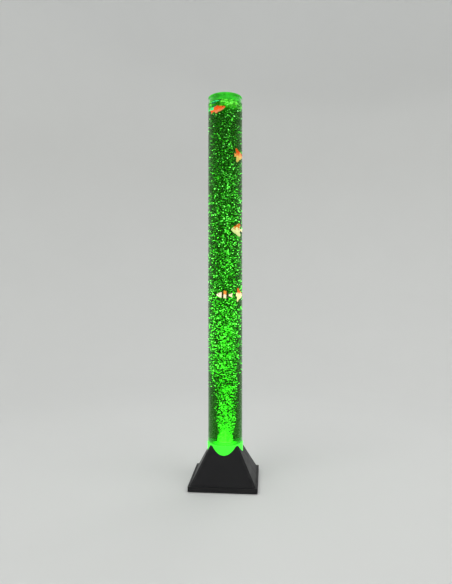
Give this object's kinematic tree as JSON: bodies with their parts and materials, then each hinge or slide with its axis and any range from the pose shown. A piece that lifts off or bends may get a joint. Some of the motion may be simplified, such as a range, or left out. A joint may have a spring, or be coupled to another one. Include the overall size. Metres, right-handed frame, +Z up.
{
  "type": "bubble tube floor lamp",
  "caption": "Tall clear water tube with bubbles and drifting toy fish, lit green from a four-sided black base that holds the air pump, lights and controls.",
  "frame": {"origin": "on the floor, under the middle of the base", "axes": "+Z up along the tube; the lamp's front faces -Y, and its switch, colour button and power socket are at the rear, on +Y"},
  "size_m": [0.207, 0.207, 1.2],
  "materials": {
    "base_black": "moulded black plastic, fine satin grain",
    "plate_black": "moulded black plastic",
    "screw_steel": "zinc-plated steel",
    "foot_rubber": "soft black rubber",
    "seat_plastic": "moulded plastic",
    "seal_rubber": "black rubber",
    "lit_acrylic": "clear acrylic, lit green from below",
    "clear_acrylic": "clear extruded acrylic",
    "cap_acrylic": "frosted acrylic, lit green through the water",
    "nozzle_plastic": "moulded plastic",
    "stone_grey": "sintered porous stone",
    "hose_silicone": "clear silicone hose",
    "valve_blue": "moulded plastic",
    "pump_grey": "moulded plastic",
    "core_iron": "laminated iron",
    "coil_copper": "enamelled copper winding",
    "arm_plastic": "moulded plastic",
    "magnet_grey": "ferrite",
    "board_green": "solder mask on glass laminate",
    "red_lens": "cast epoxy",
    "green_lens": "cast epoxy, lit",
    "blue_lens": "cast epoxy",
    "nylon_white": "natural nylon",
    "chip_black": "moulded epoxy, bare",
    "capacitor_blue": "shrink sleeve, bare",
    "rocker_red": "moulded plastic",
    "contact_brass": "plated brass",
    "button_grey": "moulded plastic",
    "lead_red": "insulated wire",
    "lead_blue": "insulated wire",
    "lead_green": "insulated wire",
    "fish_orange": "painted soft plastic, orange back and pale belly",
    "fish_teal": "painted soft plastic, teal",
    "fish_amber": "painted soft plastic, orange above and cream below",
    "fish_coral": "painted soft plastic, orange with a pale band",
    "fish_banded": "painted soft plastic, white with dark bands and an orange back fin",
    "fish_gold": "painted soft plastic, gold and cream"
  },
  "bodies": {
    "lamp": {"base_shell": "base_black", "base_plate": "plate_black", "plate_screws": "screw_steel", "rubber_feet": "foot_rubber", "tube_seat": "seat_plastic", "seat_gasket": "seal_rubber", "end_plug": "lit_acrylic", "plug_seal": "seal_rubber", "clear_tube": "clear_acrylic", "air_nozzle": "nozzle_plastic", "nozzle_washer": "seal_rubber", "nozzle_nut": "nozzle_plastic", "porous_stone": "stone_grey", "upper_hose": "hose_silicone", "check_valve": "valve_blue", "lower_hose": "hose_silicone", "pump_housing": "pump_grey", "pump_cover": "pump_grey", "pump_screws": "screw_steel", "pump_grommets": "seal_rubber", "pump_core": "core_iron", "pump_coil": "coil_copper", "arm_pivot_pin": "screw_steel", "pump_diaphragm": "seal_rubber", "pump_head": "arm_plastic", "pump_valves": "seal_rubber", "light_board": "board_green", "red_lights": "red_lens", "green_lights": "green_lens", "blue_lights": "blue_lens", "light_spacers": "nylon_white", "light_screws": "screw_steel", "control_board": "board_green", "control_chip": "chip_black", "board_capacitors": "capacitor_blue", "board_connectors": "nylon_white", "board_screws": "screw_steel", "switch_body": "plate_black", "switch_blades": "contact_brass", "button_body": "plate_black", "button_spring": "screw_steel", "power_socket": "plate_black", "socket_contacts": "contact_brass", "socket_nut": "screw_steel", "control_leads": "lead_red", "pump_lead": "lead_blue", "light_lead": "lead_green"},
    "cap": {"top_cap": "cap_acrylic"},
    "rocker": {"switch_rocker": "rocker_red"},
    "button": {"button_cap": "button_grey"},
    "arm": {"pump_arm": "arm_plastic", "arm_magnet": "magnet_grey"},
    "valve": {"valve_disc": "seal_rubber"},
    "orange_fish": {"orange_fish": "fish_orange"},
    "teal_fish": {"teal_fish": "fish_teal"},
    "amber_fish": {"amber_fish": "fish_amber"},
    "coral_fish": {"coral_fish": "fish_coral"},
    "banded_fish": {"banded_fish": "fish_banded"},
    "gold_fish": {"gold_fish": "fish_gold"}
  },
  "joints": [
    {"name": "cap_lift", "type": "slide", "parent": "lamp", "child": "cap", "axis": [0, 0, 1], "range_m": [0, 0.04]},
    {"name": "power_rocker", "type": "hinge", "parent": "lamp", "child": "rocker", "pos_m": [-0.022, 0.07504, 0.036], "axis": [1, 0, 0], "range_deg": [-18, 0]},
    {"name": "colour_button", "type": "slide", "parent": "lamp", "child": "button", "axis": [0, -1, 0], "range_m": [0, 0.0015], "stiffness_N_per_m": 300, "deforming": ["button_spring"]},
    {"name": "pump_arm_swing", "type": "hinge", "parent": "lamp", "child": "arm", "pos_m": [-0.006, -0.0338, 0.024], "axis": [0, 0, 1], "range_deg": [-2.5, 2.5], "stiffness_Nm_per_rad": 0.05, "deforming": ["pump_diaphragm"]},
    {"name": "valve_lift", "type": "slide", "parent": "lamp", "child": "valve", "axis": [0, 0, 1], "range_m": [0, 0.0012]},
    {"name": "orange_fish_drift", "type": "slide", "parent": "lamp", "child": "orange_fish", "axis": [0, 0, 1], "range_m": [-0.49, 0.01]},
    {"name": "teal_fish_drift", "type": "slide", "parent": "lamp", "child": "teal_fish", "axis": [0, 0, 1], "range_m": [-1.01, 0.003]},
    {"name": "amber_fish_drift", "type": "slide", "parent": "lamp", "child": "amber_fish", "axis": [0, 0, 1], "range_m": [-0.093, 0.138]},
    {"name": "coral_fish_drift", "type": "slide", "parent": "lamp", "child": "coral_fish", "axis": [0, 0, 1], "range_m": [-0.079, 0.094]},
    {"name": "banded_fish_drift", "type": "slide", "parent": "lamp", "child": "banded_fish", "axis": [0, 0, 1], "range_m": [-0.444, 0.053]},
    {"name": "gold_fish_drift", "type": "slide", "parent": "lamp", "child": "gold_fish", "axis": [0, 0, 1], "range_m": [-0.436, 0.079]}
  ]
}
